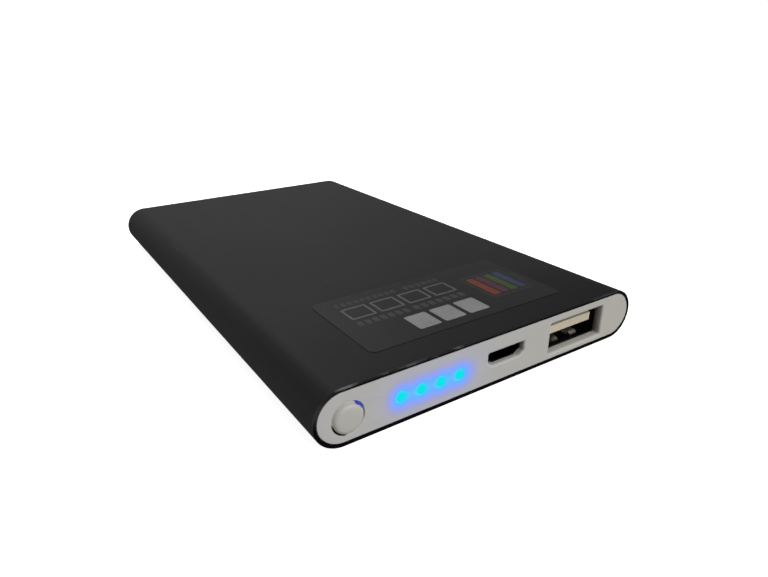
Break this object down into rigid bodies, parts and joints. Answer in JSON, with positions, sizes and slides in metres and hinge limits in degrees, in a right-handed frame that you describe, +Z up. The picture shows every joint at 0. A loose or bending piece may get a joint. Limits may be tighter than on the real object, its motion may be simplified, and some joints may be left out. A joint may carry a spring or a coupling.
{
  "type": "slim power bank",
  "caption": "Slim lithium-polymer power bank: black anodised sleeve, white port panel with push button, blue charge lights, micro-USB input and USB-A output.",
  "frame": {"origin": "centre of the underside, where the bank rests on a table", "axes": "+X across the bank, with the USB-A socket on the +X side; +Y along its length, from the port end to the plain end; +Z up, out of the labelled face"},
  "size_m": [0.067, 0.1106, 0.0096],
  "materials": {
    "anodised_black": "black anodised, fine satin grain",
    "white_abs": "fine moulded satin",
    "clear_acrylic": "clear moulding, lit blue from behind",
    "label_film": "thin dark film, slightly glossy",
    "board_green": "green solder mask",
    "plated_steel": "tin plated sheet",
    "cream_nylon": "moulded satin",
    "gold_contact": "gold flashed",
    "black_nylon": "moulded satin",
    "led_white": "clear resin over a white body",
    "ferrite": "pressed ferrite",
    "epoxy_black": "moulded epoxy",
    "ceramic_tan": "fired ceramic",
    "pouch_foil": "laminated foil pouch",
    "nickel": "nickel strip",
    "red_silicone": "wire jacket",
    "black_silicone": "wire jacket",
    "amber_tape": "polyimide tape",
    "grey_foam": "open foam",
    "white_tape": "double-sided tissue tape",
    "zinc_steel": "zinc plated"
  },
  "bodies": {
    "casing": {"aluminium_sleeve": "anodised_black", "front_panel": "white_abs", "rear_cap": "white_abs", "inner_tray": "white_abs", "top_label": "label_film", "switch_housing": "black_nylon", "switch_spring": "plated_steel", "switch_bracket": "plated_steel", "light_guide": "clear_acrylic", "main_board": "board_green", "board_screw_left": "zinc_steel", "board_screw_right": "zinc_steel", "charge_controller": "epoxy_black", "power_inductor": "ferrite", "input_capacitor": "ceramic_tan", "battery_capacitor": "ceramic_tan", "output_capacitor": "ceramic_tan", "usb_socket_shell": "plated_steel", "usb_insulator": "cream_nylon", "micro_socket_shell": "plated_steel", "micro_insulator": "black_nylon", "battery_cell": "pouch_foil", "protection_board": "board_green", "protection_controller": "epoxy_black", "protection_switch": "epoxy_black", "positive_tab": "pouch_foil", "negative_tab": "nickel", "positive_wire": "red_silicone", "negative_wire": "black_silicone", "cell_adhesive_tape": "white_tape", "foam_pad": "grey_foam", "insulating_tape": "amber_tape", "led_1": "led_white", "led_resistor_1": "epoxy_black", "usb_contact_1": "gold_contact", "led_2": "led_white", "led_resistor_2": "epoxy_black", "usb_contact_2": "gold_contact", "led_3": "led_white", "led_resistor_3": "epoxy_black", "usb_contact_3": "gold_contact", "led_4": "led_white", "led_resistor_4": "epoxy_black", "usb_contact_4": "gold_contact", "micro_contact_1": "gold_contact", "micro_contact_2": "gold_contact", "micro_contact_3": "gold_contact", "micro_contact_4": "gold_contact", "micro_contact_5": "gold_contact"},
    "button": {"power_button": "white_abs"},
    "plunger": {"switch_plunger": "cream_nylon"}
  },
  "joints": [
    {"name": "button_press", "type": "slide", "parent": "casing", "child": "button", "axis": [0, 1, 0], "range_m": [0, 0.0003], "stiffness_N_per_m": 1500},
    {"name": "plunger_press", "type": "slide", "parent": "casing", "child": "plunger", "axis": [0, 1, 0], "range_m": [0, 0.0003]}
  ],
  "couplings": [
    {"joint": "plunger_press", "follows": "button_press", "ratio": 1}
  ]
}
